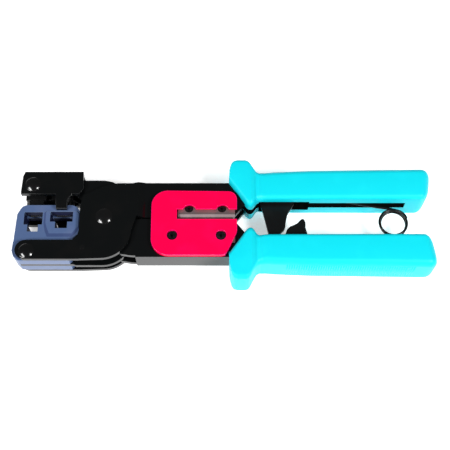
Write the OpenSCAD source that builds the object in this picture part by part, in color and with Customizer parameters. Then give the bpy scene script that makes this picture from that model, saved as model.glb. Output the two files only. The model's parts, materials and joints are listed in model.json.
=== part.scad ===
// Ratchet crimping tool for 8-way and 6-way modular plugs, with a wire cutter.
// It lies on its side: X runs from the jaws to the ends of the grips, Y across the two
// handles, Z through the thickness. All parts are drawn about the main pivot and then
// moved, so that the origin is under the middle of the closed tool.

/* [Size] */
// Distance from the main pivot to the front of the die block
jaw_reach = 47.6; // [47.4:0.1:48]
// Distance from the main pivot to the ends of the grips
grip_reach = 174; // [172:1:178]
// Height of each grip's hand guard above the middle of the tool
guard_y = 35; // [34:0.5:36]
// Half of the whole thickness, from the middle to the grip face
half_thick = 10.9; // [10.8:0.1:11.5]

/* [Sheet steel] */
// Half of the outside width of both handle channels
channel_half = 6.5; // [6.4:0.05:6.5]
// Thickness of the handle sheet and of the jaw plates
sheet = 2.5; // [2.3:0.1:2.5]
// Height of the lower channel's back from the middle of the tool
channel_back = 21.9; // [21.5:0.1:22]
// Height of the upper channel's back from the middle of the tool
upper_back = 20.65; // [20.65:0.05:20.8]
// Radius of the lower lever's hub
hub_r = 12.6; // [12:0.1:12.7]
// Radius of the main pivot rivet
pivot_r = 4; // [3.5:0.1:4]

/* [Grips] */
// Distance from the middle to the inner side of each grip
grip_inner = 9.9; // [9.7:0.1:10.5]
// Distance from the middle to the palm side of each grip
grip_outer = 28; // [27:0.5:30]
// Radius of the grips' long edges
grip_edge = 4; // [3:0.5:5]

/* [Die sockets] */
// Width of the 8-way plug socket
plug8_w = 12; // [11.8:0.1:12.2]
// Width of the 6-way plug socket
plug6_w = 9.8; // [9.6:0.1:10]
// Pitch of the contact punches
contact_pitch = 1.02; // [1:0.01:1.04]

/* [Ratchet] */
// Distance from the main pivot to the tips of the ratchet teeth
tooth_r = 93.6; // [93:0.1:93.8]
// Depth of the ratchet teeth
tooth_depth = 1.4; // [1:0.1:1.6]
// Number of ratchet teeth
tooth_count = 7; // [5:1:7]

/* [Spring] */
// Thickness of the spring wire
wire = 1.4; // [1.2:0.1:1.5]
// Radius of the spring coil at the middle of the wire
coil_r = 7.3; // [7:0.1:7.5]

/* [Hidden] */
$fn = 64;
far = 400;
gap = 0.3;
fit = 0.05;
core = sheet / 2;
flange_in = channel_half - sheet;
plate_in = channel_half + gap;
plate_out = plate_in + sheet;
head_h = half_thick - plate_out;
joggle_start = 17;
joggle_end = 20.8;
channel_end = 166;
taper_start = 68;
taper_end = 78;
inner_edge = 12.8;
parting = 0.4;
die_z = 6.2;
die_top = 7.8;
jaw_bottom = -24;
die_rivet_at = [-39.5, -19.5];
cap_rivet_at = [-39, 18.7];
core_pin_at = [-10.5, -17.3];
socket_top = 3.7;
comb_y = 3.9;
slot_half = 2.4;
plug8_x = -22.9;
plug6_x = -37.95;
cover_screw_x = [36, 61.6];
cover_screw_y = -10.6;
blade_screw_x = [44.6, 62.1];
blade_screw_y = 5.3;
cover_back = channel_half + 0.4;
cover_front = 9.3;
ratchet_z = 0.3;
ratchet_t = 2.2;
pawl_at = [104, -15];
sector_pin_at = [[87, 15.6], [94.5, 15.6]];
spring_pin_at = [101.5, 15.6];
coil_at = [153.8, 0];
wire_z = wire / 2 + 0.1;
eye_r = 1.8;
coil_turn = 318;
black = [0.07, 0.07, 0.08];
steel = [0.72, 0.73, 0.75];
grip_blue = [0.18, 0.7, 0.86];
die_blue = [0.4, 0.45, 0.64];
cover_red = [0.84, 0.07, 0.22];

module place() {
  translate([(jaw_reach - grip_reach) / 2, 0, half_thick]) children();
}

// A plate between two heights; its outlines are its children.
module slab(z0, z1) {
  for (i = [0 : $children - 1])
    translate([0, 0, z0]) linear_extrude(z1 - z0) children(i);
}

// The same plate on the front and on the back of the tool.
module both_sides(z0, z1) {
  for (i = [0 : $children - 1]) {
    slab(z0, z1) children(i);
    slab(-z1, -z0) children(i);
  }
}

module upright_pin(at, r, z0, z1) {
  translate([at[0], at[1], z0]) cylinder(r = r, h = z1 - z0);
}

// A rivet with a low domed head on both faces.
module rivet(at, shank_r, head_r) {
  dome_r = (head_r * head_r + head_h * head_h) / (2 * head_h);
  translate([at[0], at[1], 0]) rotate_extrude() intersection() {
    union() {
      translate([0, -plate_out - 0.01]) square([shank_r, 2 * plate_out + 0.02]);
      for (s = [-1, 1]) intersection() {
        translate([0, s * (half_thick - dome_r)]) circle(r = dome_r, $fn = 128);
        translate([0, s > 0 ? plate_out : -half_thick]) square([head_r, head_h]);
      }
    }
    translate([0, -far]) square([far, 2 * far]);
  }
}

// ---- sheet outlines, seen from the front ----

// Outline of one flange of the upper handle; the lower one is its mirror image.
module handle_outline(back) {
  polygon([
    [joggle_start - 3, parting], [taper_start, parting], [taper_end, inner_edge],
    [channel_end, inner_edge], [channel_end, back],
    [joggle_end, back], [joggle_start - 3, back - 1.4]
  ]);
}

// Outer plate round the pivot, down to the nose of the lower jaw.
module jaw_plate_outline() {
  translate([die_rivet_at[0] - 0.7, jaw_bottom + 5.3]) circle(r = 5.3);
  translate([die_rivet_at[0] - 0.7, jaw_bottom]) square([28, 10.6]);
  polygon(concat(
    [[-16, -20], [-16, -13.4], [-13.6, -11], [-12.9, -8], [-13, 6.4], [-11.6, 12.2],
     [-4.6, 15.6], [-1.5, 17.3], [2.2, 18.5], [6.5, upper_back - 1.4],
     [14, upper_back - 1.4], [14, parting], [joggle_start, parting]],
    arc([-1, -8.2], 15.4, 360, 270, 16),
    [[-14, jaw_bottom]]
  ));
}

// Top arm that both the centre leaf and the lower lever's flanges follow.
module top_arm(bottom, top, left) {
  polygon([
    [left, bottom], [left, top], [-12.4, top], [-11.8, 22.2], [-1, 22.2],
    [3.3, 21.3], [6.1, 19.8], [4.4, 14.2], [0, 0], [-9.2, 7.6], [-18, bottom]
  ]);
}

module jaw_cap_outline() {
  polygon([
    [-45.1, 14.6], [-45, 13], [-26.4, 12.9], [-25.8, 4.6], [-20, 4.6],
    [-20.1, 9.3], [-17.8, 13.1], [-13.8, 13.1], [-11.8, 16.3], [-12.4, 26.1],
    [-43.7, 26.1], [-44.7, 23.5]
  ]);
}

module cover_outline() {
  polygon(concat(
    arc([33.3, 6.4], 8.5, 180, 90, 9),
    arc([65.5, 10], 4.5, 90, 0, 6),
    [[70, -7.8], [69.7, -9.4], [64.6, -20.4], [63.7, -21.4], [62.4, -21.7]],
    arc([34.1, -12.6], 9.1, 270, 180, 9)
  ));
}

module guard_outline() {
  polygon([
    [65.8, 20.7], [66.1, 27], [67.4, guard_y - 1.8], [69.8, guard_y],
    [75.5, guard_y], [78, guard_y - 2.5], [81, 27.5], [84, 26],
    [86, 20], [86, grip_inner], [82, grip_inner], [80.1, 8.2], [78.5, 6.4],
    [76.9, 5.9], [75.3, 7.3]
  ]);
}

// ---- lower lever ----

module lower_handle_channel() place() color(black) {
  difference() {
    union() {
      both_sides(flange_in, channel_half) {
        mirror([0, 1]) handle_outline(channel_back);
        circle(r = hub_r);
        polygon([[0, 0], [14.9, 2], [15.1, -parting], [20, -parting],
                 [20, -channel_back + 0.5], [14, -21], [8, -20], [2, -12.2]]);
        top_arm(15, 25, -43);
      }
      translate([17, -channel_back, -channel_half])
        cube([channel_end - 17, sheet, 2 * channel_half]);
    }
    upright_pin([0, 0], pivot_r + fit, -far, far);
    upright_pin(cap_rivet_at, 2.5, -far, far);
    for (x = cover_screw_x) upright_pin([x, cover_screw_y], 1.5, 0, far);
    upright_pin(pawl_at, 1.5, 0, far);
    mirror([0, 1, 0]) upright_pin(spring_pin_at, 1, -far, 0);
  }
}

module upper_jaw_core() place() color(black) difference() {
  slab(-core, core) {
    circle(r = hub_r);
    top_arm(13, 25.4, -43.2);
  }
  upright_pin([0, 0], pivot_r + fit, -far, far);
  upright_pin(cap_rivet_at, 2.5, -far, far);
}

module jaw_cap() {
  difference() {
    slab(channel_half, plate_out) union() {
      jaw_cap_outline();
      children();
    }
    upright_pin(cap_rivet_at, 2.5, 0, far);
  }
}

module jaw_cap_front() place() color(black) jaw_cap();

// The back cap reaches further down behind both sockets, where it stops the plugs.
module jaw_cap_back() place() color(black) mirror([0, 0, 1]) jaw_cap()
  polygon([[-43.6, 14], [-43.6, 1.5], [-32.6, 1.5], [-31.6, 2.6], [-27.8, 2.6],
           [-26.8, -0.5], [-19, -0.5], [-19, 12], [-26, 14]]);

module jaw_cap_rivet() place() color(black) rivet(cap_rivet_at, 2.5, 4.3);

// Washers that hold the centre leaf in the middle of the jaw.
module jaw_spacers() place() color(steel) difference() {
  for (s = [-1, 1]) mirror([0, 0, s > 0 ? 0 : 1])
    upright_pin(cap_rivet_at, 3.6, core, flange_in);
  upright_pin(cap_rivet_at, 2.5, -far, far);
}

module hub_spacers() place() color(steel) difference() {
  for (s = [-1, 1]) mirror([0, 0, s > 0 ? 0 : 1])
    upright_pin([0, 0], 9, core, flange_in);
  upright_pin([0, 0], pivot_r + fit, -far, far);
}

// A stepped block between the flanges, saddled over the centre leaf, and a comb below it.
module punch(x, width, ways, left, right) {
  difference() {
    translate([left, 11.8, -flange_in + 0.05])
      cube([right - left, 3.1, 2 * flange_in - 0.1]);
    translate([left - 1, 13, -core]) cube([right - left + 2, 10, 2 * core]);
  }
  translate([left + 1.6, 8.6, -2.4]) cube([right - left - 3.2, 3.3, 4.8]);
  translate([x - width / 2, 5.2, -1]) cube([width, 3.5, 2]);
  for (i = [0 : ways - 1])
    translate([x + (i - (ways - 1) / 2) * contact_pitch - 0.25, comb_y, -1])
      cube([0.5, 5.3 - comb_y, 2]);
}

module punch_8p() place() color(black) punch(plug8_x, 9, 8, -29.4, -18.2);

module punch_6p() place() color(black) punch(plug6_x, 7, 6, -43.2, -32.6);

module blade_cover() place() color(cover_red) difference() {
  slab(channel_half, cover_front) cover_outline();
  // room for the upper lever behind the cover
  translate([0, 0, 0]) cube([far, far, cover_back]);
  translate([0, -parting, 0]) cube([far, 1, cover_back]);
  // room for the blade, which swings up behind the cover
  translate([34.5, -0.9, 0]) cube([far, far, 7.9]);
  // room for the anvil strip
  translate([32, -15.2, 0]) cube([38, 15, channel_half + 1.05]);
  // the slot that a wire goes through, with two arches over the screws
  translate([38.3, -1.5, 0]) cube([far, 5.8, far]);
  for (x = blade_screw_x) upright_pin([x + 0.3, 3], 3.6, 0, far);
  for (x = cover_screw_x) {
    upright_pin([x, cover_screw_y], 1.6, 0, far);
    upright_pin([x, cover_screw_y], 2.8, 8.4, far);
  }
}

module cross_screw(at, shank_r, head_r, z0, z1, z2) {
  difference() {
    union() {
      upright_pin(at, shank_r, z0, z1);
      upright_pin(at, head_r, z1, z2);
    }
    for (a = [0, 90]) translate([at[0], at[1], z2]) rotate(a)
      cube([head_r * 1.2, 0.5, 0.9], center = true);
  }
}

module cover_screws() place() color(steel)
  for (x = cover_screw_x)
    cross_screw([x, cover_screw_y], 1.5, 2.6, flange_in - 1, 8.4, 9.2);

module cutter_anvil() place() color(steel) difference() {
  translate([33, -14.2, channel_half]) cube([36, 13.7, 1]);
  for (x = cover_screw_x) upright_pin([x, cover_screw_y], 1.6, 0, far);
}

// ---- grips ----

// Cross-section of the grip bar, across the tool and through its thickness.
module grip_section() {
  y0 = grip_inner + grip_edge;
  y1 = grip_outer - grip_edge;
  z1 = half_thick - grip_edge;
  for (y = [y0, y1], z = [-z1, z1]) translate([y, z]) circle(r = grip_edge);
  translate([grip_inner, -z1]) square([grip_outer - grip_inner, 2 * z1]);
  translate([y0, -half_thick]) square([y1 - y0, 2 * half_thick]);
}

// Front view of the grip bar, with round corners at its far end.
module grip_outline() {
  corner = 4;
  x1 = grip_reach - corner;
  for (y = [grip_inner + corner, grip_outer - corner]) translate([x1, y]) circle(r = corner);
  translate([80, grip_inner]) square([x1 - 80, grip_outer - grip_inner]);
  translate([80, grip_inner + corner])
    square([grip_reach - 80, grip_outer - grip_inner - 2 * corner]);
}

// One grip, drawn for the upper handle: guard, rounded bar and the pocket for the channel.
module grip(back) {
  difference() {
    union() {
      intersection() {
        slab(-half_thick, half_thick) grip_outline();
        rotate([90, 0, 90]) linear_extrude(far) grip_section();
      }
      slab(-half_thick, half_thick) guard_outline();
    }
    slab(-channel_half, channel_half) handle_outline(back);
    // slot for the ratchet and, narrower, for the spring
    translate([60, 0, -flange_in]) cube([52, inner_edge + 0.2, 2 * flange_in]);
    translate([60, 0, -slot_half]) cube([100.6, inner_edge + 0.2, 2 * slot_half]);
  }
}

module upper_grip() place() color(grip_blue) grip(upper_back);

module lower_grip() place() color(grip_blue) mirror([0, 1, 0]) grip(channel_back);

// ---- ratchet ----

module ratchet_sector() place() color(black) difference() {
  slab(ratchet_z, ratchet_z + ratchet_t) difference() {
    polygon(concat(
      [[82.5, 18], [82.5, 10], [84, 5.3], [86.8, -7.2], [89.2, -17.6]],
      arc([0, 0], tooth_r, -10.8, -4, 12),
      [[94.9, -5.2], [95.8, -3.5], [96.2, 0], [97, 4.2], [98.6, 8], [98.6, 18]]
    ));
    for (i = [0 : tooth_count - 1]) rotate(-10.6 + i * 0.95)
      polygon([[tooth_r - tooth_depth, 0.2], [tooth_r + 1, -0.6], [tooth_r + 1, 1.2]]);
  }
  for (p = sector_pin_at) upright_pin(p, 1.5, -far, far);
}

module sector_pins() place() color(steel)
  for (p = sector_pin_at) upright_pin(p, 1.5, -channel_half, channel_half);

module sector_spacers() place() color(steel) difference() {
  for (p = sector_pin_at) {
    upright_pin(p, 2.4, ratchet_z + ratchet_t, flange_in);
    upright_pin(p, 2.4, -flange_in, ratchet_z);
  }
  for (p = sector_pin_at) upright_pin(p, 1.5, -far, far);
}

// Pawl with its nose towards the teeth and a thumb tab above.
module release_pawl() place() color(black) difference() {
  slab(ratchet_z, ratchet_z + ratchet_t) {
    translate(pawl_at) circle(r = 3.2);
    polygon([
      [pawl_at[0] - 2.8, pawl_at[1] - 1.4], [94.2, -10.6], [94.1, -9.6], [95.8, -7.2],
      [96.7, -4.6], [98.4, -2.9], [100.5, -2], [102.1, -1.2], [103.8, 0.6], [104.9, 1.6],
      [106, 1.2], [106.7, -0.6], [106.6, -3.5], [107.5, -7.2], [106.9, pawl_at[1]]
    ]);
  }
  upright_pin(pawl_at, 1.5 + fit, -far, far);
}

module pawl_pin() place() color(steel)
  upright_pin(pawl_at, 1.5, ratchet_z - 0.15, channel_half);

module pawl_spring() place() color(steel)
  for (k = [0 : 1]) translate([pawl_at[0], pawl_at[1], ratchet_z + ratchet_t + 0.4 + 0.65 * k])
    rotate_extrude() translate([1.95, 0]) circle(d = 0.6);

// ---- upper lever ----

// Side profile of the bent sheet: outside plates at the hub, closer flanges behind.
module bent_sides() {
  for (s = [-1, 1]) mirror([0, 0, s > 0 ? 0 : 1])
    rotate([90, 0, 0]) translate([0, 0, -60]) linear_extrude(120) polygon([
      [-60, plate_in], [joggle_start, plate_in], [joggle_end, flange_in],
      [far, flange_in], [far, channel_half], [joggle_end + 0.4, channel_half],
      [joggle_start + 0.4, plate_out], [-60, plate_out]
    ]);
}

module upper_handle_channel() place() color(black) {
  difference() {
    union() {
      intersection() {
        bent_sides();
        slab(-20, 20) {
          jaw_plate_outline();
          handle_outline(upper_back);
        }
      }
      translate([joggle_end + 0.4, upper_back - sheet, -channel_half])
        cube([channel_end - joggle_end - 0.4, sheet, 2 * channel_half]);
    }
    upright_pin([0, 0], pivot_r, -far, far);
    upright_pin(die_rivet_at, 2.5, -far, far);
    upright_pin(core_pin_at, 1.2, -far, far);
    for (x = blade_screw_x) upright_pin([x, blade_screw_y], 1.2, 0, far);
    for (p = sector_pin_at) upright_pin(p, 1.5, -far, far);
    upright_pin(spring_pin_at, 1, 0, far);
  }
}

module main_pivot_rivet() place() color(black) rivet([0, 0], pivot_r, 4.6);

// A plug-shaped window: the body of the plug and the notch for its latch.
module socket(x, width, floor_y, notch_w, notch_y) {
  translate([x - width / 2, floor_y, -far]) cube([width, socket_top - floor_y, 2 * far]);
  translate([x - notch_w / 2, notch_y, -far])
    cube([notch_w, floor_y - notch_y + 0.1, 2 * far]);
  translate([x - width / 2, socket_top - 0.1, -1.8]) cube([width, far, 3.6]);
}

module die_outline() {
  polygon([
    [-45.1, 5.5], [-44, 7], [-42, die_top], [-17.7, die_top], [-15, 6.7],
    [-13.5, 4.4], [-13, 1.5], [-12.9, -6], [-13.9, -8.9], [-16.4, -11.1],
    [-16.4, -22.6], [-17.6, jaw_bottom], [-44, jaw_bottom], [-46.6, -21.5],
    [-jaw_reach, -18.5], [-47.4, -15], [-46.6, 2.6]
  ]);
}

module boss_outline() {
  polygon([
    [-32.3, 3.6], [-32.3, -2.6], [-31.4, -7.1], [-30, -10.4], [-17, -10.4],
    [-14.2, -7.6], [-13.2, -5], [-13.2, 2.6], [-14.2, 4.2], [-31.6, 4.2]
  ]);
}

module die_block() place() color(die_blue) difference() {
  union() {
    slab(-die_z, die_z) die_outline();
    slab(-plate_in, plate_in) intersection() {
      die_outline();
      translate([-60, -30]) square([60, 16.6]);
    }
    slab(die_z - 0.1, plate_in) boss_outline();
  }
  socket(plug8_x, plug8_w, -2, 6.4, -5.7);
  socket(plug6_x, plug6_w, -3.4, 5.6, -7.4);
  upright_pin(die_rivet_at, 2.5, -far, far);
  // groove for the centre leaf of the lower jaw
  translate([-43.6, jaw_bottom - 1, -core]) cube([60, 10.8, 2 * core]);
}

module lower_jaw_core() place() color(black) difference() {
  slab(-core, core) difference() {
    polygon(concat(
      [[-43.6, -14.2], [-43.6, jaw_bottom], [-16, jaw_bottom], [-14.5, jaw_bottom - 0.6]],
      arc([-1, -8.8], 15.8, 270, 340, 14)
    ));
    circle(r = hub_r + 0.6);
  }
  upright_pin(die_rivet_at, 2.5, -far, far);
  upright_pin(core_pin_at, 1.2, -far, far);
}

module die_rivet() place() color(black) rivet(die_rivet_at, 2.5, 4.3);

module core_pin() place() color(steel)
  upright_pin(core_pin_at, 1.2, -plate_out - 0.1, plate_out + 0.1);

module cutter_blade() place() color(steel) difference() {
  translate([38.7, 0, channel_half]) rotate([90, 0, 90]) linear_extrude(30.3)
    polygon([[0.4, 0], [9.6, 0], [9.6, 1], [1.8, 1]]);
  for (x = blade_screw_x)
    translate([x, blade_screw_y, channel_half]) {
      cylinder(r = 1.25, h = 1);
      translate([0, 0, 0.3]) cylinder(r = 2.3, h = 1);
    }
}

module blade_screws() place() color(steel)
  for (x = blade_screw_x)
    cross_screw([x, blade_screw_y], 1.2, 2.2, flange_in, channel_half + 0.3, channel_half + 1);

// ---- handle spring: one leg and one turn on each handle ----

// Unit direction of a flat path at point i.
function heading(path, i) =
  let (step = path[min(i + 1, len(path) - 1)] - path[max(i - 1, 0)]) step / norm(step);

// Round wire whose middle follows a flat path.
module wire_along(path, d, sides = 10) {
  rings = len(path);
  points = [
    for (i = [0 : rings - 1]) let (h = heading(path, i)) for (k = [0 : sides - 1])
      let (across = cos(k * 360 / sides) * d / 2, up = sin(k * 360 / sides) * d / 2)
        [path[i][0] - h[1] * across, path[i][1] + h[0] * across, up]
  ];
  walls = [
    for (i = [0 : rings - 2], k = [0 : sides - 1])
      let (n = (k + 1) % sides)
        [i * sides + k, (i + 1) * sides + k, (i + 1) * sides + n, i * sides + n]
  ];
  first_cap = [for (k = [0 : sides - 1]) k];
  last_cap = [for (k = [sides - 1 : -1 : 0]) (rings - 1) * sides + k];
  polyhedron(points = points, faces = concat([first_cap], walls, [last_cap]));
}

// Points on an arc about a centre.
function arc(centre, r, from, to, steps) =
  [for (i = [0 : steps]) let (a = from + (to - from) * i / steps) centre + r * [cos(a), sin(a)]];

// Leg from the eye on its pin to one turn of the coil, drawn for the upper handle.
module spring_half(z) {
  reach = coil_at - spring_pin_at;
  side = coil_r - eye_r;
  run = sqrt(reach * reach - side * side);
  slope = atan2(reach[1], reach[0]) + asin(side / norm(reach));
  path = concat(
    arc([0, 0], eye_r, 90 + 270, 90, 9),
    arc([run, -side], coil_r, 90, 90 - coil_turn, 26)
  );
  translate([spring_pin_at[0], spring_pin_at[1], z]) rotate(slope) wire_along(path, wire);
}

module spring_upper_leg() place() color(black) spring_half(wire_z);

module spring_lower_leg() place() color(black) mirror([0, 1, 0]) spring_half(-wire_z);

module spring_pin_upper() place() color(steel)
  upright_pin(spring_pin_at, 1, 0.1, channel_half);

module spring_pin_lower() place() color(steel)
  mirror([0, 1, 0]) upright_pin(spring_pin_at, 1, -channel_half, -0.1);

lower_handle_channel();
upper_jaw_core();
jaw_cap_front();
jaw_cap_back();
jaw_cap_rivet();
jaw_spacers();
hub_spacers();
punch_8p();
punch_6p();
blade_cover();
cover_screws();
cutter_anvil();
lower_grip();
pawl_pin();
pawl_spring();
spring_pin_lower();
release_pawl();
upper_handle_channel();
die_block();
lower_jaw_core();
die_rivet();
core_pin();
cutter_blade();
blade_screws();
upper_grip();
ratchet_sector();
sector_pins();
sector_spacers();
spring_pin_upper();
main_pivot_rivet();
spring_upper_leg();
spring_lower_leg();
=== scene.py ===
# %% [markdown]
# # A ratchet crimping tool
#
# The tool lies closed on a white table. Its levers are bent sheet steel under gloss black
# enamel, the jaw holds a slate-blue die block, a red cover guards the wire cutter, and two
# bright cyan vinyl grips cover the handles. The CAD frame holds every size and joint. Here
# each piece gets the edges, ribs and finishes that make it look made.

# %% Load the frame
import json
import math

import bmesh
import bpy
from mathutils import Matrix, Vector, geometry


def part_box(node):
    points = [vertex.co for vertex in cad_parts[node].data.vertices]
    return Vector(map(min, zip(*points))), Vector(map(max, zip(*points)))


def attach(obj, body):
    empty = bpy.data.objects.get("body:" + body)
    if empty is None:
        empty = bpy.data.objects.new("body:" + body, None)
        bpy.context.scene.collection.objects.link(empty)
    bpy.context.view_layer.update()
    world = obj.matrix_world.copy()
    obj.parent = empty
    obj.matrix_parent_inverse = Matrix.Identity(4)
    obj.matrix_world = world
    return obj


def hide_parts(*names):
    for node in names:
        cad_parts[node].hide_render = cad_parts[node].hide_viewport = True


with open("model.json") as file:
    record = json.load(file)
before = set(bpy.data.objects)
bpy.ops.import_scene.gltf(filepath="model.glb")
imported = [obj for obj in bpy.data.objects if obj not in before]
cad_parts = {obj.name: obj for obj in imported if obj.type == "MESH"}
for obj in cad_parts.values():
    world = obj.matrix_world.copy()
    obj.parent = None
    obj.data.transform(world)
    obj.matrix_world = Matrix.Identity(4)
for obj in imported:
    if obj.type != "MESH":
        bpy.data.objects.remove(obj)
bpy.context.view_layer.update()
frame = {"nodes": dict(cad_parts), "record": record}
joints = {j["name"]: j for j in frame["record"]["behaviour"]["joints"]}
pivot = Vector(joints["handles_open"]["pos_m"])
MM = 0.001
print("loaded", len(frame["nodes"]), "nodes, pivot at", tuple(round(c, 4) for c in pivot))


# %% [markdown]
# ## Places
#
# A tool maker measures from the main pivot, so this script does too. Blender works in metres
# from the world's origin. Two helpers translate: `at` turns millimetres from the pivot into a
# point of the frame, and `place_of` turns a point of the frame back.

# %% Places
def at(x, y, z=0.0):
    """A point given in millimetres from the main pivot."""
    return pivot + Vector((x, y, z)) * MM


def place_of(point):
    """A point of the frame in millimetres from the main pivot."""
    return (point - pivot) / MM


def local_box(node):
    """The box of a CAD node in millimetres from the pivot."""
    low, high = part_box(node)
    return place_of(low), place_of(high)


print("upper grip spans", [round(v, 1) for c in local_box("upper_grip") for v in c])

# %% [markdown]
# ## Camera
#
# The camera looks down at 67 degrees above the table, from the side of the lower handle. It
# stands close, under half a metre away, so the grips show a little of their sides. A long
# lens from further off would flatten them. The Standard view keeps the bright vinyl bright,
# where the default view would soften it.

# %% Camera
CAMERA_PLACE, CAMERA_TILT, LENS = (63.7, -184.6, 432.3), 23, 70.1
camera_data = bpy.data.cameras.new("camera")
camera_data.lens = LENS
camera_data.sensor_width = 36
camera = bpy.data.objects.new("camera", camera_data)
camera.location = at(*CAMERA_PLACE)
camera.rotation_euler = (math.radians(CAMERA_TILT), 0, 0)
bpy.context.scene.collection.objects.link(camera)
bpy.context.scene.camera = camera
bpy.context.scene.view_settings.view_transform = "Standard"
print("camera is", round((camera.location - pivot).length, 3), "m from the pivot")

# %% [markdown]
# ## Floor and light
#
# Gloss black shows only what it reflects. A long soft box on the left and a small one on the
# right stand low enough for the steep rims of the domed rivets to catch them. A third, lower
# still, lights the sides that face the camera. The space straight above stays dark, so that
# flat faces stay black, and the white table lights the edges.


# %% Nodes helper
def shader(name, **values):
    """A new material and its Principled shader, with plain socket values set."""
    material = bpy.data.materials.new(name)
    material.use_nodes = True
    principled = material.node_tree.nodes["Principled BSDF"]
    for socket, value in values.items():
        principled.inputs[socket.replace("_", " ")].default_value = value
    return material, principled


# %% Floor
FLOOR_SIZE, FLOOR_GAP, FLOOR_GLOW = 6, 0.0002, 0.5
floor_material, floor_shader = shader("floor_paper", Roughness=0.9)
floor_shader.inputs["Base Color"].default_value = (0.9, 0.9, 0.9, 1)
floor_shader.inputs["Emission Color"].default_value = (1, 1, 1, 1)
floor_shader.inputs["Emission Strength"].default_value = FLOOR_GLOW
bpy.ops.mesh.primitive_plane_add(size=FLOOR_SIZE, location=(0, 0, -FLOOR_GAP))
floor = bpy.context.object
floor.name = "floor"
floor.data.materials.append(floor_material)
print("floor is", FLOOR_SIZE, "m wide")


# %% Soft boxes
def soft_box(name, place, size, power):
    """A rectangular soft box that faces the middle of the tool."""
    data = bpy.data.lights.new(name, "AREA")
    data.shape = "RECTANGLE"
    data.size, data.size_y = size
    data.energy = power
    box = bpy.data.objects.new(name, data)
    box.location = place
    box.rotation_euler = (-Vector(place)).to_track_quat("-Z", "Y").to_euler()
    bpy.context.scene.collection.objects.link(box)
    print(name, "gives", power, "W")


soft_box("soft_box_left", (-0.78, -0.55, 0.9), (0.7, 0.25), 15)
soft_box("soft_box_right", (0.75, -0.45, 0.95), (0.3, 0.3), 14)
soft_box("soft_box_front", (0.0, -1.3, 0.45), (1.4, 0.25), 3.6)

# %% Studio air
AIR_LIGHT = 0.12
world = bpy.data.worlds.new("studio")
bpy.context.scene.world = world
world.use_nodes = True
world.node_tree.nodes["Background"].inputs["Color"].default_value = (1, 1, 1, 1)
world.node_tree.nodes["Background"].inputs["Strength"].default_value = AIR_LIGHT
print("the air around gives", AIR_LIGHT)


# %% [markdown]
# ## Finishes
#
# Every finish is built from noise on Object coordinates, which here are metres in the tool's
# own frame, so the grain has its real size and no picture has to be painted. A shared helper
# feeds a fine noise to the bump, and a coarser one to the roughness and to the blend between
# two near colors, because real coatings are never even.


# %% Surface helper
BLOTCHES_PER_METRE, BLEND_WIDTH, BUMP_STRENGTH = 90, 0.2, 0.6


def textured(name, color, roughness, spread, grain, depth, second, share=0.5, **values):
    """A finish that varies; grain and depth are its bumps' size and height in metres."""
    material, principled = shader(name, **values)
    tree = material.node_tree
    place = tree.nodes.new("ShaderNodeTexCoord")
    fine = tree.nodes.new("ShaderNodeTexNoise")
    fine.inputs["Scale"].default_value = 1 / grain
    fine.inputs["Detail"].default_value = 3
    coarse = tree.nodes.new("ShaderNodeTexNoise")
    coarse.inputs["Scale"].default_value = BLOTCHES_PER_METRE
    coarse.inputs["Detail"].default_value = 4
    for noise in (fine, coarse):
        tree.links.new(place.outputs["Object"], noise.inputs["Vector"])
    rough = tree.nodes.new("ShaderNodeMapRange")
    rough.inputs["To Min"].default_value = roughness - spread
    rough.inputs["To Max"].default_value = roughness + spread
    tree.links.new(coarse.outputs["Fac"], rough.inputs["Value"])
    tree.links.new(rough.outputs["Result"], principled.inputs["Roughness"])
    bump = tree.nodes.new("ShaderNodeBump")
    bump.inputs["Distance"].default_value = depth
    bump.inputs["Strength"].default_value = BUMP_STRENGTH
    tree.links.new(fine.outputs["Fac"], bump.inputs["Height"])
    tree.links.new(bump.outputs["Normal"], principled.inputs["Normal"])
    mix = tree.nodes.new("ShaderNodeMix")
    mix.data_type = "RGBA"
    mix.inputs["A"].default_value = (*color, 1)
    mix.inputs["B"].default_value = (*second, 1)
    blend = tree.nodes.new("ShaderNodeMapRange")
    blend.inputs["From Min"].default_value = share
    blend.inputs["From Max"].default_value = share + BLEND_WIDTH
    tree.links.new(coarse.outputs["Fac"], blend.inputs["Value"])
    tree.links.new(blend.outputs["Result"], mix.inputs["Factor"])
    tree.links.new(mix.outputs["Result"], principled.inputs["Base Color"])
    return material


# %% [markdown]
# The steel pieces wear different finishes. Enamel is a thin gloss paint; its edges get a greyer
# finish of their own, a painted highlight for the thin line of light an edge catches. Blackened
# steel is only stained, so it is duller. The blade's steel is ground bare. Each is one call
# with its color, its gloss and the size of its grain.

# %% Finishes of the metal pieces
black_enamel = textured("black_enamel", (0.0022, 0.0028, 0.003), 0.16, 0.03, 0.0009, 0.000006,
                        second=(0.0034, 0.0036, 0.0036), Specular_IOR_Level=0.3)
# Painted highlight: the lighter grey of the rounded edges stands in for the light they catch.
enamel_painted_highlight = textured("enamel_painted_highlight", (0.01, 0.0105, 0.011), 0.28, 0.08, 0.0006, 0.00001,
                       second=(0.08, 0.08, 0.083), share=0.5)
rivet_enamel = textured("rivet_enamel", (0.0022, 0.0026, 0.0028), 0.15, 0.03, 0.0012, 0.000004,
                        second=(0.0034, 0.0034, 0.0034), Specular_IOR_Level=0.5)
die_coating = textured("die_coating", (0.07, 0.115, 0.24), 0.36, 0.06, 0.00035, 0.00003,
                       second=(0.088, 0.128, 0.25), Metallic=0.1)
# Painted highlight: the lighter blue of the die's rounded edges.
die_painted_highlight = textured("die_painted_highlight", (0.13, 0.2, 0.34), 0.32, 0.08, 0.0003, 0.00003,
                    second=(0.17, 0.235, 0.37), share=0.5, Metallic=0.1)
# Painted shade: the darker blue of the boss's slopes, turned away from the light.
die_slope_painted_shade = textured("die_slope_painted_shade", (0.04, 0.066, 0.165), 0.36, 0.06, 0.00035, 0.00003,
                     second=(0.05, 0.076, 0.18), Metallic=0.1)
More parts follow.
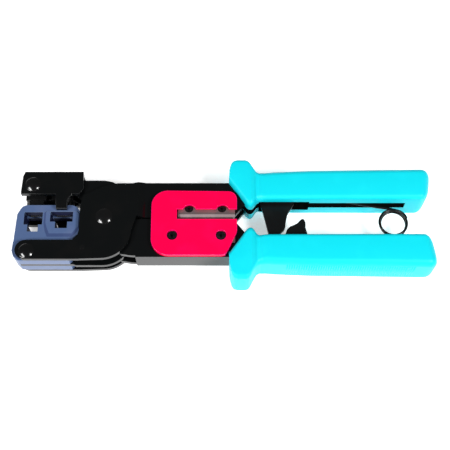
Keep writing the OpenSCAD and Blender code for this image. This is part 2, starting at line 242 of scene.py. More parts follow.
# Painted shade: the near-black blue of the unlit socket walls.
socket_painted_shade = textured("socket_painted_shade", (0.004, 0.006, 0.03), 0.5, 0.06, 0.0003, 0.00003,
                       second=(0.007, 0.01, 0.05), Specular_IOR_Level=0.2)
ground_steel = textured("ground_steel", (0.34, 0.28, 0.285), 0.48, 0.08, 0.0002, 0.00001,
                        second=(0.39, 0.32, 0.325), Metallic=1.0)
dark_steel = textured("dark_steel", (0.1, 0.095, 0.095), 0.34, 0.08, 0.0003, 0.00002,
                      second=(0.16, 0.15, 0.145), Metallic=0.85)
black_oxide = textured("black_oxide", (0.003, 0.0032, 0.0034), 0.36, 0.08, 0.0003, 0.00002,
                       second=(0.005, 0.005, 0.005), Specular_IOR_Level=0.25)
screw_steel = textured("screw_steel", (0.03, 0.026, 0.028), 0.32, 0.08, 0.0003, 0.00002,
                       second=(0.055, 0.048, 0.05), Metallic=0.8)
spring_wire = textured("spring_wire", (0.004, 0.004, 0.004), 0.26, 0.05, 0.0004, 0.00001,
                       second=(0.008, 0.008, 0.008), Metallic=0.3)
print("metal finishes made")

# %% [markdown]
# Moulded vinyl and moulded hard plastic differ in gloss and grain. Vinyl is soft and a little
# translucent, so it gets a touch of scattering under its skin.

# %% Finishes of the plastic pieces
grip_vinyl = textured("grip_vinyl", (0.003, 0.62, 0.72), 0.44, 0.05, 0.0007, 0.00003,
                      second=(0.004, 0.64, 0.74), Subsurface_Weight=0.06,
                      Subsurface_Scale=0.0015, Specular_IOR_Level=0.18)
cover_plastic = textured("cover_plastic", (0.86, 0.0002, 0.055), 0.34, 0.04, 0.0005, 0.00002,
                         second=(0.9, 0.0006, 0.066), Specular_IOR_Level=0.08)
# Painted highlight: the deeper pink of the cover's bevel stands in for the soft boxes'
# reflection.
cover_painted_highlight = textured("cover_painted_highlight", (0.7, 0.006, 0.24), 0.24, 0.04, 0.0005, 0.00002,
                      second=(0.74, 0.01, 0.3), Specular_IOR_Level=0.35)
print("plastic finishes made")

# %% [markdown]
# ## Rounded edges
#
# No edge on a real stamping, casting or moulding is sharp: it catches a thin line of light.
# Edges could be cut by hand, but the CAD solids are exact and sharp, so each one is copied,
# its split corners are merged, and a Bevel modifier rounds every edge that turns by more than
# 30 degrees. The rounded strips take the last material given; where that is an edge finish of
# its own, its colour is a painted highlight along the edge. Weighted normals keep the flat faces
# flat beside them.


# %% What a piece stands for
node_body = {n: b for b, ns in frame["record"]["behaviour"]["bodies"].items() for n in ns}


def adopt(piece, node):
    """Lets a piece stand for a CAD node: it joins the node's body and the node is hidden."""
    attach(piece, node_body[node])
    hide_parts(node)


def shown(name, mesh):
    """An object at the origin that shows a mesh."""
    piece = bpy.data.objects.new(name, mesh)
    bpy.context.scene.collection.objects.link(piece)
    return piece


# %% Merged copy of a CAD node
MERGE_WITHIN = 2e-6


def merged_mesh(node):
    """The CAD node's surface with its corners joined and its flat faces made whole."""
    source = frame["nodes"][node].data
    bm = bmesh.new()
    for vertex in source.vertices:
        bm.verts.new(vertex.co)
    bm.verts.ensure_lookup_table()
    for face in source.polygons:
        try:
            bm.faces.new([bm.verts[i] for i in face.vertices])
        except ValueError:
            continue
    bmesh.ops.remove_doubles(bm, verts=bm.verts, dist=MERGE_WITHIN)
    bmesh.ops.dissolve_limit(bm, angle_limit=math.radians(0.5), verts=bm.verts, edges=bm.edges)
    return bm


# %% Rounded copy of a CAD node
SHARP_FROM = math.radians(30)


def rounded(node, materials, radius, segments=2, prepare=None, sort_faces=None):
    """A copy of a node with edges rounded by radius millimetres, in the last material."""
    bm = merged_mesh(node)
    if prepare:
        prepare(bm)
        bm.normal_update()
    if sort_faces:
        for face in bm.faces:
            face.material_index = sort_faces(place_of(face.calc_center_median()), face.normal)
    mesh = bpy.data.meshes.new(node + "_finished")
    bm.to_mesh(mesh)
    bm.free()
    for material in materials:
        mesh.materials.append(material)
    mesh.shade_smooth()
    piece = shown(node + "_finished", mesh)
    bevel = piece.modifiers.new("edges", "BEVEL")
    bevel.width = radius * MM
    bevel.segments = segments
    bevel.limit_method = "ANGLE"
    bevel.angle_limit = SHARP_FROM
    bevel.material = len(materials) - 1
    shading = piece.modifiers.new("flat_faces_stay_flat", "WEIGHTED_NORMAL")
    shading.weight = 100
    adopt(piece, node)


# %% [markdown]
# ### Levers
#
# Each handle is a channel folded from one sheet. A folded corner has a radius of about the
# sheet's thickness, much larger than a cut edge. One Bevel modifier has one width, so the two
# long fold lines are rounded first in the mesh itself, and the cut edges after them.


# %% Fold lines
FOLD_RADIUS, CUT_EDGE = 1.1, 0.35
NEAR, NEAR_BACK = 0.05, 0.2


def round_folds(lever):
    """A function that rounds the two corners along the back of one lever's channel."""
    low, high = local_box(lever)
    back = max(high.y, -low.y)

    def on_fold(vertex):
        place = place_of(vertex.co)
        return abs(place.y) > back - NEAR_BACK and abs(abs(place.z) - high.z) < NEAR

    def runs_along(edge):
        return abs(edge.verts[0].co.x - edge.verts[1].co.x) > 20 * MM

    def prepare(bm):
        folds = [e for e in bm.edges if all(map(on_fold, e.verts)) and runs_along(e)]
        bmesh.ops.bevel(bm, geom=folds, offset=FOLD_RADIUS * MM, segments=5, profile=0.5,
                        affect="EDGES")
        print("rounded", len(folds), "fold lines of", lever)

    return prepare


for lever in ("lower_handle_channel", "upper_handle_channel"):
    rounded(lever, [black_enamel, enamel_painted_highlight], CUT_EDGE, prepare=round_folds(lever))

# %% [markdown]
# ### Plates, pins and blades
#
# The jaw's leaves are punched from plate and enamelled, and the punch leaves a rounder edge
# than a saw would. Small pins and washers hide between the leaves, so they keep their exact
# CAD mesh and only change their material. A cutting blade stays crisp, with a hair of a radius.

# %% Plates, pins and blades
PLATE_EDGE, PIN_EDGE, BLADE_EDGE = 0.42, 0.1, 0.08
for leaf in ("upper_jaw_core", "lower_jaw_core", "jaw_cap_front", "jaw_cap_back"):
    rounded(leaf, [black_enamel, enamel_painted_highlight], PLATE_EDGE, segments=3)
for turned in ("hub_spacers", "jaw_spacers", "sector_spacers", "sector_pins", "pawl_pin",
               "spring_pin_upper", "spring_pin_lower", "pawl_spring"):
    frame["nodes"][turned].data.materials.clear()
    frame["nodes"][turned].data.materials.append(dark_steel)
rounded("core_pin", [rivet_enamel], PIN_EDGE)
for cutter in ("cutter_anvil", "cutter_blade"):
    rounded(cutter, [ground_steel], BLADE_EDGE)
print("plates have", PLATE_EDGE, "mm edges")

# %% [markdown]
# ### Ratchet
#
# The toothed sector and its pawl are blackened plate. Under the grip the sector flares out
# from a narrow waist, so two corners of its outline are drawn to where the flare ends. Moving
# a few points of a copy is simpler than drawing the whole plate again.

# %% Ratchet
OXIDE_EDGE = 0.25
FLARE = (((98.6, 8.0), (2.2, 2.4)), ((97.0, 4.2), (0.1, -0.2)))


def flare_sector(bm):
    """Draws the sector's waist corners out into the flare under the grip."""
    for vertex in bm.verts:
        place = place_of(vertex.co)
        for corner, drawn in FLARE:
            if math.dist(place.xy, corner) < 0.1:
                vertex.co += Vector((*drawn, 0)) * MM


rounded("ratchet_sector", [black_oxide], OXIDE_EDGE, prepare=flare_sector)
rounded("release_pawl", [black_oxide], OXIDE_EDGE)
print("the sector's flare ends", FLARE[0][1][0], "mm further out")

# %% [markdown]
# ### Punch blocks
#
# Each block is blackened steel and carries a comb of bare steel teeth, one for each contact
# of the plug. They could be two objects, but one piece can hold two materials: a face of the
# copy below the block gets the second one.

# %% Punch blocks
COMB_TOP, COMB_EDGE = 5.3, 0.12


def teeth_are_bare(place, normal):
    """Material index of a punch's face: 1 for the comb's teeth."""
    return 1 if place.y < COMB_TOP else 0


for comb in ("punch_8p", "punch_6p"):
    rounded(comb, [black_oxide, dark_steel, black_oxide], COMB_EDGE, sort_faces=teeth_are_bare)
print("teeth end", COMB_TOP, "mm above the pivot")

# %% [markdown]
# ### Rivets
#
# A rivet head is turned, so half of its section spun about its axis makes it. A shallow dome
# ends in a small rolled lip, and that lip is what draws the thin ring round a real head. The
# three rivets differ in size, so each takes its size from its own CAD box.

# %% Rivet section
LIP, DOME_STEPS, LIP_STEPS = 0.15, 14, 5


def rivet_half(head, shank, seat, top):
    """Half a rivet's section as (radius, height), from the crown down to the shank."""
    rise, edge = top - seat - LIP, head - LIP
    dome = (edge ** 2 + rise ** 2) / (2 * rise)
    half = []
    for i in range(DOME_STEPS + 1):
        r = edge * i / DOME_STEPS
        half.append((r, top - dome + math.sqrt(dome ** 2 - r ** 2)))
    for i in range(1, LIP_STEPS + 1):
        turn = math.radians(90 - 90 * i / LIP_STEPS)
        half.append((edge + LIP * math.cos(turn), seat + LIP * math.sin(turn)))
    return half + [(head, seat), (shank, seat)]


# %% Rivet heads
def rivet(node, shank):
    """A double-headed rivet, spun from its section."""
    low, high = local_box(node)
    centre = (low + high) / 2
    head = (high.x - low.x) / 2
    half = rivet_half(head, shank, local_box("jaw_cap_front")[1].z, high.z)
    section = half + [(r, -z) for r, z in reversed(half)]
    bm = bmesh.new()
    points = [bm.verts.new(at(centre.x + r, centre.y, z)) for r, z in section]
    edges = [bm.edges.new(pair) for pair in zip(points, points[1:])]
    bmesh.ops.spin(bm, geom=points + edges, cent=at(centre.x, centre.y), axis=(0, 0, 1),
                   angle=2 * math.pi, steps=48, use_merge=True)
    bmesh.ops.remove_doubles(bm, verts=bm.verts, dist=1e-6)
    bmesh.ops.recalc_face_normals(bm, faces=bm.faces)
    mesh = bpy.data.meshes.new(node + "_spun")
    bm.to_mesh(mesh)
    bm.free()
    mesh.materials.append(rivet_enamel)
    mesh.shade_smooth()
    adopt(shown(node + "_spun", mesh), node)
    print(node, "head is", round(2 * head, 2), "mm wide")


rivet("main_pivot_rivet", 4.0)
rivet("jaw_cap_rivet", 2.5)
rivet("die_rivet", 2.5)

# %% [markdown]
# ### Die block
#
# The die is a coated casting. A boss round the 8-way socket stands proud with sloping sides,
# so the boss's top outline is drawn inwards before the edges are rounded. The slopes turn away
# from the light and the socket walls are unlit, so both get a darker blue that is painted shade,
# chosen by where a face lies and which way it looks. The rounded edges get a painted highlight.

# %% Boss of the die block
BOSS_BOTTOM, BOSS_LEFT, BOSS_DEPTH = -10.4, -33.0, 3
SOCKET_8 = (-28.95, -16.85, -5.75, 7.7)
SOCKET_6 = (-42.9, -33.0, -7.45, 7.7)
RIM_8 = (-29.0, -16.8, -5.8, 3.8)
die_top = local_box("die_block")[1].z


def within(place, box):
    """Whether a place lies inside a box of low x, high x, low y, high y."""
    return box[0] < place.x < box[1] and box[2] < place.y < box[3]


def inward(place):
    """How far a corner of the boss's top outline is drawn in."""
    x = 1.1 if place.x < -29.9 else -0.77 if place.x > -14.5 else 0
    y = 1.65 if place.y < -7.0 else -0.3 if place.y > 3.5 else 0
    return Vector((x, y, 0))


def slope_boss(bm):
    """Draws the boss's upper outline inwards, which slopes its sides."""
    top = [v for v in bm.verts if abs(place_of(v.co).z - die_top) < NEAR
           and place_of(v.co).y > BOSS_BOTTOM - 0.1 and not within(place_of(v.co), RIM_8)]
    for vertex in top:
        vertex.co += inward(place_of(vertex.co)) * MM
    print("sloped the boss with", len(top), "corners")


# %% Die block
DIE_EDGE = 0.45


def die_faces(place, normal):
    """Material index of a die's face: 1 for socket walls, 2 for the boss's slopes; both are
    painted shade.
    """
    in_socket = within(place, SOCKET_8) or within(place, SOCKET_6)
    if in_socket and abs(normal.z) < 0.5:
        return 1
    on_boss = (place.x > BOSS_LEFT and place.y > BOSS_BOTTOM - 0.5
               and place.z > die_top - BOSS_DEPTH)
    return 2 if on_boss and 0.3 < normal.z < 0.98 else 0


rounded("die_block", [die_coating, socket_painted_shade, die_slope_painted_shade, die_painted_highlight], DIE_EDGE, segments=3,
        prepare=slope_boss, sort_faces=die_faces)

# %% [markdown]
# ### Blade cover
#
# The cover is moulded in red plastic. A mould needs generous edges, so its bevel is wider
# than the ones on metal, with four segments so that the curve shows no facets. The edge takes
# a deeper, glossier pink, a painted highlight for the soft boxes' reflection in the bevel.

# %% Blade cover
COVER_EDGE = 1.1
rounded("blade_cover", [cover_plastic, cover_painted_highlight], COVER_EDGE, segments=4)
print("cover has", COVER_EDGE, "mm edges")

# %% [markdown]
# ## Things that repeat
#
# Screws, ribs and a bent wire all follow a rule: the same shape at many points, or one
# section along a path. Geometry Nodes suit that, because the rule is built once and the sizes
# stay inputs that can be changed. The helpers make a tree, run it on a mesh of points or a
# path, and keep the result as a plain mesh, because an export drops instances.


# %% Node tree helpers
def new_tree(name, inputs):
    """An empty node tree with a geometry input, named sizes and a material."""
    tree = bpy.data.node_groups.new(name, "GeometryNodeTree")
    tree.interface.new_socket("Geometry", in_out="INPUT", socket_type="NodeSocketGeometry")
    for label, kind in inputs:
        tree.interface.new_socket(label, in_out="INPUT", socket_type="NodeSocket" + kind)
    tree.interface.new_socket("Geometry", in_out="OUTPUT", socket_type="NodeSocketGeometry")
    return tree, tree.nodes.new("NodeGroupInput"), tree.nodes.new("NodeGroupOutput")


def step(tree, kind, links=None, **settings):
    """Adds a node, sets its properties and links its inputs to other sockets."""
    node = tree.nodes.new("GeometryNode" + kind)
    for key, value in settings.items():
        setattr(node, key, value)
    for label, source in (links or {}).items():
        if isinstance(source, bpy.types.NodeSocket):
            tree.links.new(source, node.inputs[label])
        else:
            node.inputs[label].default_value = source
    return node


def finish_tree(tree, shape, material, output):
    """Ends a tree the same way each time: real geometry with its material."""
    smooth = step(tree, "SetShadeSmooth", {"Geometry": shape})
    real = step(tree, "RealizeInstances", {"Geometry": smooth.outputs[0]})
    dressed = step(tree, "SetMaterial", {"Geometry": real.outputs[0], "Material": material})
    tree.links.new(dressed.outputs[0], output.inputs[0])


def grow(name, tree, points, edges, values):
    """Runs a tree on a mesh of points and edges and returns the plain mesh it makes."""
    seed = bpy.data.meshes.new(name + "_seed")
    seed.from_pydata([at(*p) for p in points], edges, [])
    carrier = shown(name + "_carrier", seed)
    modifier = carrier.modifiers.new("rule", "NODES")
    modifier.node_group = tree
    for item in tree.interface.items_tree:
        if item.item_type == "SOCKET" and item.in_out == "INPUT" and item.name in values:
            modifier[item.identifier] = values[item.name]
    depsgraph = bpy.context.evaluated_depsgraph_get()
    mesh = bpy.data.meshes.new_from_object(carrier.evaluated_get(depsgraph))
    mesh.name = name
    carrier.modifiers.clear()
    bpy.data.objects.remove(carrier)
    print(name, "has", len(mesh.polygons), "faces")
    return mesh


# %% [markdown]
# ### Cross-head screws
#
# Four screws hold the cover and the blade. They could be four copies of one mesh, but the two
# pairs differ in size. So a tree makes a head from a cone and a shank from a cylinder, cuts a
# cross with two thin boxes, and puts a screw on every point it is given.

# %% Screw tree and its sizes
CROWN_SHARE, ARM_REACH = 0.86, 1.25
screw_tree, given, made = new_tree("cross_head_screw", [
    ("Head radius", "Float"), ("Head height", "Float"), ("Shank radius", "Float"),
    ("Shank length", "Float"), ("Cross width", "Float"), ("Cross depth", "Float"),
    ("Material", "Material")])
head_r, head_h = given.outputs["Head radius"], given.outputs["Head height"]


def scaled(tree, size, factor):
    """A size times a factor, for sizes that depend on other sizes."""
    node = tree.nodes.new("ShaderNodeMath")
    node.operation = "MULTIPLY"
    tree.links.new(size, node.inputs[0])
    node.inputs[1].default_value = factor
    return node.outputs[0]


def vector(tree, *sizes):
    """A vector made of sizes; None leaves a zero."""
    node = tree.nodes.new("ShaderNodeCombineXYZ")
    for axis, size in enumerate(sizes):
        if size is not None:
            tree.links.new(size, node.inputs[axis])
    return node.outputs[0]


# %% Screw head and shank
head = step(screw_tree, "MeshCone", {
    "Vertices": 40, "Radius Top": scaled(screw_tree, head_r, CROWN_SHARE),
    "Radius Bottom": head_r, "Depth": head_h})
shank = step(screw_tree, "MeshCylinder", {
    "Vertices": 24, "Radius": given.outputs["Shank radius"],
    "Depth": given.outputs["Shank length"]})
shank_drop = scaled(screw_tree, given.outputs["Shank length"], -0.5)
lowered = step(screw_tree, "Transform", {
    "Geometry": shank.outputs["Mesh"],
    "Translation": vector(screw_tree, None, None, shank_drop)})
print("head and shank need", len(screw_tree.nodes), "nodes")

# %% Cross in the head
cross = step(screw_tree, "MeshBoolean", operation="UNION")
arm, arm_width = scaled(screw_tree, head_r, ARM_REACH), given.outputs["Cross width"]
arm_height = scaled(screw_tree, given.outputs["Cross depth"], 2.0)
for length, width in ((arm, arm_width), (arm_width, arm)):
    box = step(screw_tree, "MeshCube", {"Size": vector(screw_tree, length, width, arm_height)})
    raised = step(screw_tree, "Transform", {
        "Geometry": box.outputs["Mesh"],
        "Translation": vector(screw_tree, None, None, head_h)})
    screw_tree.links.new(raised.outputs[0], cross.inputs["Mesh 2"])
cut_head = step(screw_tree, "MeshBoolean", {"Mesh 1": head.outputs["Mesh"]},
                operation="DIFFERENCE")
screw_tree.links.new(cross.outputs["Mesh"], cut_head.inputs["Mesh 2"])
print("the cross reaches", ARM_REACH, "times the head's radius")

# %% Whole screw on every point
whole = step(screw_tree, "JoinGeometry")
for part in (cut_head.outputs["Mesh"], lowered.outputs[0]):
    screw_tree.links.new(part, whole.inputs[0])
placed = step(screw_tree, "InstanceOnPoints", {
    "Points": given.outputs["Geometry"], "Instance": whole.outputs[0]})
finish_tree(screw_tree, placed.outputs[0], given.outputs["Material"], made)
print("screw tree has", len(screw_tree.nodes), "nodes")


# %% Screws
def screws(node, radius, height, **sizes):
    """Two cross-head screws that stand for one CAD node, at the ends of its box."""
    low, high = local_box(node)
    middle = (low.y + high.y) / 2
    seat = high.z - height
    sizes |= {"Head_radius": radius, "Head_height": height, "Shank_length": seat - low.z}
    values = {label.replace("_", " "): size * MM for label, size in sizes.items()}
    values["Material"] = screw_steel
    places = [(low.x + radius, middle, seat), (high.x - radius, middle, seat)]
    mesh = grow(node + "_cut", screw_tree, places, [], values)
    mesh.set_sharp_from_angle(angle=math.radians(35))
    adopt(shown(node + "_cut", mesh), node)


screws("cover_screws", 2.6, 0.8, Shank_radius=1.5, Cross_width=0.75, Cross_depth=0.5)
screws("blade_screws", 2.2, 0.7, Shank_radius=1.2, Cross_width=0.7, Cross_depth=0.45)

# %% [markdown]
# ### Handle spring
#
# A wire is a round section swept along a path. Each half of the spring starts in an eye on
# its pin, runs along the handle and ends in the coil, where both halves meet. The tree takes
# the path as a line of points and sweeps a circle along it, so the two halves need only two
# paths.

# %% Wire tree
wire_tree, given, made = new_tree("round_wire", [("Radius", "Float"), ("Material", "Material")])
path = step(wire_tree, "MeshToCurve", {"Mesh": given.outputs["Geometry"]})
section = step(wire_tree, "CurvePrimitiveCircle", {
    "Resolution": 14, "Radius": given.outputs["Radius"]})
swept = step(wire_tree, "CurveToMesh", {
    "Curve": path.outputs[0], "Profile Curve": section.outputs[0], "Fill Caps": True})
finish_tree(wire_tree, swept.outputs[0], given.outputs["Material"], made)
print("wire tree has", len(wire_tree.nodes), "nodes")

# %% [markdown]
# The path is worked out flat, with the pin at the origin and the leg along X, and turned into
# place at the end. It has three stretches: the eye is an arc, the bend that leads into the
# coil is a Bezier curve, and the coil is a little over one turn. The lower half's coil is a
# little tighter, so the two turns show as two wires.

# %% Spring measures
WIRE_RADIUS, EYE_RADIUS, COIL_RADIUS, WIRE_LEVEL = 0.69, 1.8, 7.3, 0.8
COIL_CENTRE = Vector((153.8, 0.0))
pin_low, pin_high = local_box("spring_pin_upper")
pin = ((pin_low + pin_high) / 2).xy
reach = COIL_CENTRE - pin
step_down = COIL_RADIUS - EYE_RADIUS
run = math.sqrt(reach.length_squared - step_down ** 2)
slope = math.atan2(reach.y, reach.x) + math.asin(step_down / reach.length)
print("each leg runs", round(run, 1), "mm to its coil")

# %% Stretches of the spring's path
COIL_ENTRY, COIL_SWEEP, LIFT_AFTER, LIFT, TIGHTER = math.radians(52), 385, 315, 1.4, 0.6
BEND_REACH, BEND_OUT, BEND_IN = 13, 8.5, 4.5


def eye_and_leg():
    """The eye round the pin and the straight leg."""
    turns = [math.radians(360 - 270 * i / 18) for i in range(19)]
    eye = [(EYE_RADIUS * math.cos(a), EYE_RADIUS * math.sin(a), 0.0) for a in turns]
    return eye + [((run - BEND_REACH) * i / 10, EYE_RADIUS, 0.0) for i in range(1, 10)]


def bend():
    """The curve from the leg into the coil's first point."""
    tangent = Vector((-math.sin(COIL_ENTRY), math.cos(COIL_ENTRY)))
    arrives = Vector((run + COIL_RADIUS * math.cos(COIL_ENTRY),
                      EYE_RADIUS - COIL_RADIUS + COIL_RADIUS * math.sin(COIL_ENTRY)))
    leaves = Vector((run - BEND_REACH, EYE_RADIUS))
    handles = (leaves, leaves + Vector((BEND_OUT, 0)), arrives + tangent * BEND_IN, arrives)
    curve = geometry.interpolate_bezier(*handles, 16)
    return [(point.x, point.y, 0.0) for point in curve]


def coil(tighter):
    """One turn and a bit; the end lifts off so that it lies beside the start."""
    points = []
    for i in range(1, 81):
        swing = i / 80
        turn = COIL_ENTRY - math.radians(COIL_SWEEP * swing)
        radius = COIL_RADIUS - tighter * math.sin(math.pi * swing)
        lift = LIFT * max(0.0, swing * COIL_SWEEP - LIFT_AFTER) / (COIL_SWEEP - LIFT_AFTER)
        points.append((run + radius * math.cos(turn), -step_down + radius * math.sin(turn),
                       lift))
    return points


# %% Spring legs
def spring_path(side):
    """Points along one half of the spring, in millimetres; side is 1 for the upper leg."""
    points = []
    for x, y, lift in eye_and_leg() + bend() + coil(TIGHTER if side < 0 else 0):
        turned_x = x * math.cos(slope) - y * math.sin(slope)
        turned_y = x * math.sin(slope) + y * math.cos(slope)
        points.append((pin.x + turned_x, side * (pin.y + turned_y),
                       side * (WIRE_LEVEL + lift)))
    return points


for side, node in ((1, "spring_upper_leg"), (-1, "spring_lower_leg")):
    points = spring_path(side)
    mesh = grow(node + "_wound", wire_tree, points, [(i, i + 1) for i in range(len(points) - 1)],
                {"Radius": WIRE_RADIUS * MM, "Material": spring_wire})
    adopt(shown(node + "_wound", mesh), node)

# %% [markdown]
# ## Grips
#
# A moulded grip changes its section along its length: a tall guard, a waist, a long palm
# swelling and a round end. It could be sculpted from a cube, but its outlines are known, so a
# loft fits better. Each station along X gives an inner side, a palm side and a half
# thickness, and a rounded rectangle with a slot in its inner side is drawn there. Joining the
# stations makes one closed skin.

# %% Outlines of a grip
grip_low, grip_high = local_box("upper_grip")
GRIP_START, GRIP_END = grip_low.x, grip_high.x
GUARD_TOP, HALF_THICK, INNER = grip_high.y, grip_high.z, 9.9
INNER_SIDE = [(GRIP_START, 20.4), (73.4, 9.6), (74.4, 8.0), (75.3, 6.8), (76.3, 6.1), (77.2, 5.9),
              (78.1, 6.1), (79.0, 6.9), (79.8, 8.1), (80.6, 9.2), (81.6, 9.8), (83.0, INNER),
              (GRIP_END, INNER)]
PALM_SIDE = [(GRIP_START, 20.8), (66.0, 26.5), (66.5, 30.0), (67.3, 32.8), (68.4, 34.3),
             (70.2, GUARD_TOP), (74.6, GUARD_TOP), (76.0, 34.4), (77.0, 33.0), (78.2, 30.6),
             (79.4, 28.3), (80.6, 26.9), (82.2, 26.2), (85.0, 26.1), (90.0, 26.5), (110, 27.3),
             (140, 27.6), (168, 28), (GRIP_END, 28)]
HALF = [(GRIP_START, HALF_THICK), (77.6, HALF_THICK), (79.2, 10.3), (80.4, 9.5), (81.8, 9.4),
        (83.4, 10.0), (86.0, 10.4), (100, 10.6), (150, HALF_THICK), (GRIP_END, HALF_THICK)]
SLOT = [(81.8, -1.6, 4.2), (94.0, -7.0, 5.6), (108.8, -4.6, 5.6), (160.4, -1.6, 4.2)]
print("grip runs from", round(GRIP_START, 1), "to", round(GRIP_END, 1), "mm")


# %% Grip stations
END_ROUND = 5


def follow(x, stops):
    """Value at x along a list of (x, value) stops."""
    for (x0, v0), (x1, v1) in zip(stops, stops[1:]):
        if x <= x1:
            t = min(max((x - x0) / (x1 - x0), 0), 1)
            return v0 + (v1 - v0) * t
    return stops[-1][1]


def slot_at(x):
    """Lower and upper side of the slot at x, or nothing past its end."""
    for end, low, high in SLOT:
        if x < end:
            return low, high
    return None


def stations():
    """The X of every section, closer together where the outline turns."""
    xs = [GRIP_START + 0.3 * i for i in range(65)] + [86 + 2 * i for i in range(42)]
    for end, low, high in SLOT:
        xs += [end - 0.01, end + 0.01]
    xs = sorted(xs)
    xs += [GRIP_END - END_ROUND + END_ROUND * math.sin(math.radians(a)) for a in range(0, 91, 9)]
    return xs


print("grip is lofted through", len(stations()), "sections")


# %% Grip section
def arc_points(centre, radius, start, stop, steps):
    """Points on an arc in the (y, z) plane; angle 0 points to the palm."""
    turn = [math.radians(start + (stop - start) * i / steps) for i in range(steps + 1)]
    return [(centre[0] + radius * math.cos(a), centre[1] + radius * math.sin(a)) for a in turn]


INNER_EDGE, NOSE_EDGE, PALM_EDGE, GUARD_EDGE = 2.4, 3.4, 3.6, 2.4
GUARD_FOOT, END_INSET, WAIST, WAIST_LENGTH = 28, 4.6, 79, 6
CAVITY_FLOOR, CAVITY_WALL, CAVITY_HALF, SLOT_SIDES = 18.1, 12.9, 4.2, 4


def grip_sides(x, guard):
    """Inner side, palm side and half thickness at x; guard scales the guard's height."""
    end = max(0.0, x - (GRIP_END - END_ROUND)) / END_ROUND
    inset = END_INSET * (1 - math.sqrt(max(0.0, 1 - end * end)))
    palm = follow(x, PALM_SIDE)
    palm -= (1 - guard) * max(0.0, palm - GUARD_FOOT)
    return follow(x, INNER_SIDE) + inset, palm - inset, follow(x, HALF) - inset


def grip_section(x, guard):
    """Points round one section, as (y, z) in millimetres, starting in the slot."""
    y0, y1, half = grip_sides(x, guard)
    bar = min(max((x - WAIST) / WAIST_LENGTH, 0), 1)
    most = min(max(y1 - y0, 0.1) * 0.45, half * 0.6)
    corner = min(GUARD_EDGE + (PALM_EDGE - GUARD_EDGE) * bar, most)
    edge = min(NOSE_EDGE + (INNER_EDGE - NOSE_EDGE) * bar, most)
    low = high = cavity_low = cavity_high = 0.0
    floor_y = wall_y = y0
    if slot_at(x):
        low, high = slot_at(x)
        floor_y, wall_y = min(CAVITY_FLOOR, y1 - 1.5), min(CAVITY_WALL, y1 - 1.2)
        cavity_low, cavity_high = min(low, -CAVITY_HALF), max(high, CAVITY_HALF)
    points = [(floor_y, (low + high) / 2), (floor_y, cavity_high), (wall_y, cavity_high),
              (wall_y, high), (y0, high)]
    points += arc_points((y0 + edge, half - edge), edge, 180, 90, 6)
    points += arc_points((y1 - corner, half - corner), corner, 90, 0, 8)
    points += arc_points((y1 - corner, corner - half), corner, 0, -90, 8)
    points += arc_points((y0 + edge, edge - half), edge, -90, -180, 6)
    points += [(y0, low), (wall_y, low), (wall_y, cavity_low), (floor_y, cavity_low)]
    return points


print("a section has", len(grip_section(GRIP_END, 1)), "points")


# %% Loft the grips
SLANT, SLANT_FROM, SLANT_LENGTH, SLANT_ABOUT = 0.16, 160, 14, 24.5


def loft(name, sections, side):
    """Joins the sections into a closed skin; side is 1 for the upper grip, -1 for the lower."""
    bm = bmesh.new()
    rings = []
    for x, section in sections:
        slant = SLANT * max(0.0, x - SLANT_FROM) / SLANT_LENGTH
        rings.append([bm.verts.new(at(x + slant * (y - SLANT_ABOUT), side * y, z))
                      for y, z in section])
    count = len(rings[0])
    for ring, after in zip(rings, rings[1:]):
        for k in range(count):
            n = (k + 1) % count
            face = bm.faces.new((ring[k], ring[n], after[n], after[k]))
            # The slot's faces take black enamel: in the cavity it stands for the black channel,
            # on the slot's vinyl walls it is painted shade.
            face.material_index = 1 if k < SLOT_SIDES or k >= count - SLOT_SIDES else 0
    bm.faces.new(rings[0])
    bm.faces.new(list(reversed(rings[-1])))
    bmesh.ops.remove_doubles(bm, verts=bm.verts, dist=1e-7)
    bmesh.ops.recalc_face_normals(bm, faces=bm.faces)
    mesh = bpy.data.meshes.new(name)
    bm.to_mesh(mesh)
    bm.free()
    mesh.shade_smooth()
    mesh.set_sharp_from_angle(angle=math.radians(50))
    return mesh


# %% [markdown]
# ### Palm ribs
#
# Fine ribs across the palm stop the hand from sliding. A bump map could draw them, but real
# ribs still show from the side. The tree walks along the palm line in even steps and lays a
# half-sunk round bar across the grip at each one.

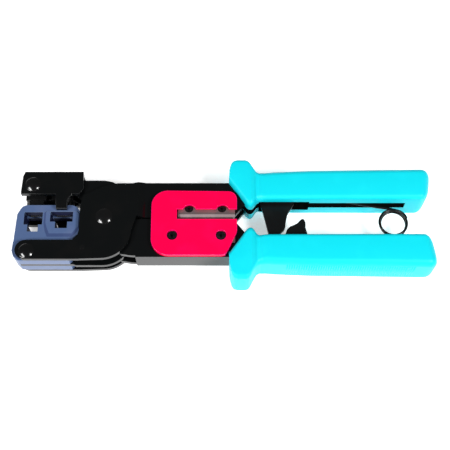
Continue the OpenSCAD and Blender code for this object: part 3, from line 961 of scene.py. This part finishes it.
# %% Rib tree
rib_tree, given, made = new_tree("palm_ribs", [
    ("Pitch", "Float"), ("Radius", "Float"), ("Length", "Float"), ("Material", "Material")])
line = step(rib_tree, "MeshToCurve", {"Mesh": given.outputs["Geometry"]})
even = step(rib_tree, "CurveToPoints", {"Curve": line.outputs[0],
                                        "Length": given.outputs["Pitch"]}, mode="LENGTH")
bar = step(rib_tree, "MeshCylinder", {"Vertices": 10, "Radius": given.outputs["Radius"],
                                      "Depth": given.outputs["Length"]})
laid = step(rib_tree, "InstanceOnPoints", {"Points": even.outputs["Points"],
                                           "Instance": bar.outputs["Mesh"]})
finish_tree(rib_tree, laid.outputs[0], given.outputs["Material"], made)
print("rib tree has", len(rib_tree.nodes), "nodes")


# %% Ribs of one grip
RIB_START, RIB_END, RIB_STEP = 96, 162, 2
RIB_PITCH, RIB_RADIUS, RIB_STANDS, RIB_LENGTH = 1.25, 0.45, 0.2, 15.0


def palm_ribs(node, side):
    """The ribs of one grip, along its palm side."""
    sink = RIB_RADIUS - RIB_STANDS
    stops = range(RIB_START, RIB_END + 1, RIB_STEP)
    palm = [(x, side * (follow(x, PALM_SIDE) - sink), 0) for x in stops]
    return grow(node + "_ribs", rib_tree, palm, [(i, i + 1) for i in range(len(palm) - 1)],
                {"Pitch": RIB_PITCH * MM, "Radius": RIB_RADIUS * MM, "Length": RIB_LENGTH * MM,
                 "Material": grip_vinyl})


# %% Grips with their ribs
for side, node, guard in ((1, "upper_grip", 0.75), (-1, "lower_grip", 1.0)):
    skin = loft(node + "_skin", [(x, grip_section(x, guard)) for x in stations()], side)
    bm = bmesh.new()
    bm.from_mesh(skin)
    skin_faces = len(bm.faces)
    bm.from_mesh(palm_ribs(node, side))
    bm.faces.ensure_lookup_table()
    for face in bm.faces[skin_faces:]:
        face.material_index = 0
    bm.to_mesh(skin)
    bm.free()
    # Black enamel on the slot's faces is painted shade where they are vinyl walls.
    for material in (grip_vinyl, black_enamel):
        skin.materials.append(material)
    adopt(shown(node + "_moulded", skin), node)
    print(node, "has", len(skin.polygons), "faces")
